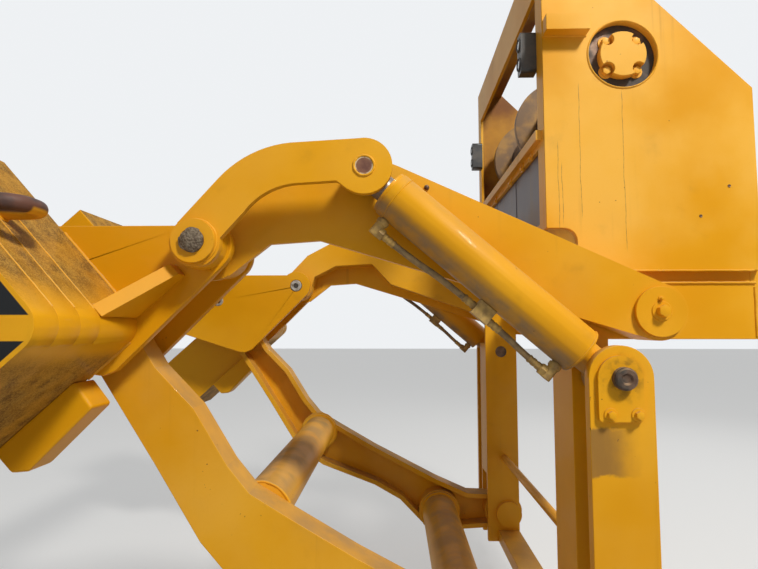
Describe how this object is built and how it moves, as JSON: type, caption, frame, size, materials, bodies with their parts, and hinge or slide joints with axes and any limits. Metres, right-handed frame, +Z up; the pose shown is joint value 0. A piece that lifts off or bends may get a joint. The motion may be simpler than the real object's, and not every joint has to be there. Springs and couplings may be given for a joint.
{
  "type": "pipelayer counterweight linkage",
  "caption": "Extending counterweight linkage of a pipelayer: bolted side frame with a rope drum, hydraulic cylinders, hinged upper and lower links, and a slab counterweight.",
  "frame": {"origin": "centre of the side frame's bolted inboard face, on the mid-plane, level with the pivot beam", "axes": "+X towards the machine, square to the bolted face; +Y from the front arm to the rear arm, along the pivot shaft; +Z up"},
  "size_m": [3.0525, 3.0958, 2.89],
  "materials": {
    "yellow_paint": "satin, dusty and worn",
    "pin_steel": "greasy and slightly rusted",
    "rod_chrome": "polished",
    "grey_panel": "matt",
    "dark_casting": "painted, dusty",
    "lamp_plastic": "satin black",
    "hose_rubber": "dusty"
  },
  "bodies": {
    "side_frame": {"outboard_posts": "yellow_paint", "cylinder_pins": "pin_steel", "pin_keepers": "yellow_paint", "lower_pins": "pin_steel", "pivot_beam": "yellow_paint", "pivot_shaft": "pin_steel", "lower_tie_beam": "yellow_paint", "post_tie_rod": "yellow_paint", "winch_end_plates": "yellow_paint", "motor_covers": "yellow_paint", "drum_bearings": "pin_steel", "winch_side_wall": "yellow_paint", "winch_side_panel": "grey_panel", "work_lamps": "lamp_plastic", "winch_frame_top": "yellow_paint", "winch_frame_floor": "yellow_paint", "mounting_plate": "yellow_paint"},
    "winch_drum": {"rope_drum": "dark_casting"},
    "upper_link": {"main_arms": "yellow_paint", "cheek_plates": "yellow_paint", "rod_pins": "pin_steel", "outer_pins": "pin_steel"},
    "carrier": {"end_slabs": "yellow_paint", "carrier_blocks": "yellow_paint", "middle_block": "yellow_paint", "carrier_cross_beam": "yellow_paint", "lifting_eyes": "pin_steel", "outer_ears": "yellow_paint", "inner_ears": "yellow_paint", "carrier_gussets": "yellow_paint", "stop_lugs": "yellow_paint"},
    "lower_link": {"link_arms": "yellow_paint", "link_pins": "pin_steel", "outer_cross_tube": "yellow_paint", "inner_cross_tube": "yellow_paint"},
    "front_barrel": {"front_cylinder_barrel": "yellow_paint", "front_hose_fittings": "pin_steel", "front_rod_hose": "hose_rubber", "front_base_hose": "hose_rubber"},
    "rear_barrel": {"rear_cylinder_barrel": "yellow_paint", "rear_hose_fittings": "pin_steel", "rear_rod_hose": "hose_rubber", "rear_base_hose": "hose_rubber"},
    "front_rod": {"front_cylinder_rod": "rod_chrome"},
    "rear_rod": {"rear_cylinder_rod": "rod_chrome"}
  },
  "joints": [
    {"name": "upper_hinge", "type": "hinge", "parent": "side_frame", "child": "upper_link", "pos_m": [-0.477, 0, 0.055], "axis": [0, 1, 0], "range_deg": [0, 40]},
    {"name": "carrier_hinge", "type": "hinge", "parent": "upper_link", "child": "carrier", "pos_m": [-2.012, 0, 0.275], "axis": [0, 1, 0], "range_deg": [-80.5, 0]},
    {"name": "lower_hinge", "type": "hinge", "parent": "side_frame", "child": "lower_link", "pos_m": [-0.655, 0, -1.165], "axis": [0, 1, 0], "range_deg": [0, 24]},
    {"name": "drum_spin", "type": "hinge", "parent": "side_frame", "child": "winch_drum", "pos_m": [-0.495, 0, 1.05], "axis": [0, 1, 0], "continuous": true},
    {"name": "front_barrel_hinge", "type": "hinge", "parent": "side_frame", "child": "front_barrel", "pos_m": [-0.685, -1.03, -0.152], "axis": [0, 1, 0], "range_deg": [0, 38]},
    {"name": "front_rod_slide", "type": "slide", "parent": "front_barrel", "child": "front_rod", "axis": [-0.7614, 0, 0.6482], "range_m": [0, 0.2]},
    {"name": "rear_barrel_hinge", "type": "hinge", "parent": "side_frame", "child": "rear_barrel", "pos_m": [-0.685, 1.03, -0.152], "axis": [0, 1, 0], "range_deg": [0, 38]},
    {"name": "rear_rod_slide", "type": "slide", "parent": "rear_barrel", "child": "rear_rod", "axis": [-0.7614, 0, 0.6482], "range_m": [0, 0.2]}
  ],
  "couplings": [
    {"joint": "carrier_hinge", "follows": "upper_hinge", "ratio": -2.0036},
    {"joint": "lower_hinge", "follows": "upper_hinge", "ratio": 0.5831},
    {"joint": "front_barrel_hinge", "follows": "upper_hinge", "ratio": 0.9383},
    {"joint": "front_rod_slide", "follows": "upper_hinge", "m_per_rad": 0.279},
    {"joint": "rear_barrel_hinge", "follows": "upper_hinge", "ratio": 0.9383},
    {"joint": "rear_rod_slide", "follows": "upper_hinge", "m_per_rad": 0.279}
  ]
}
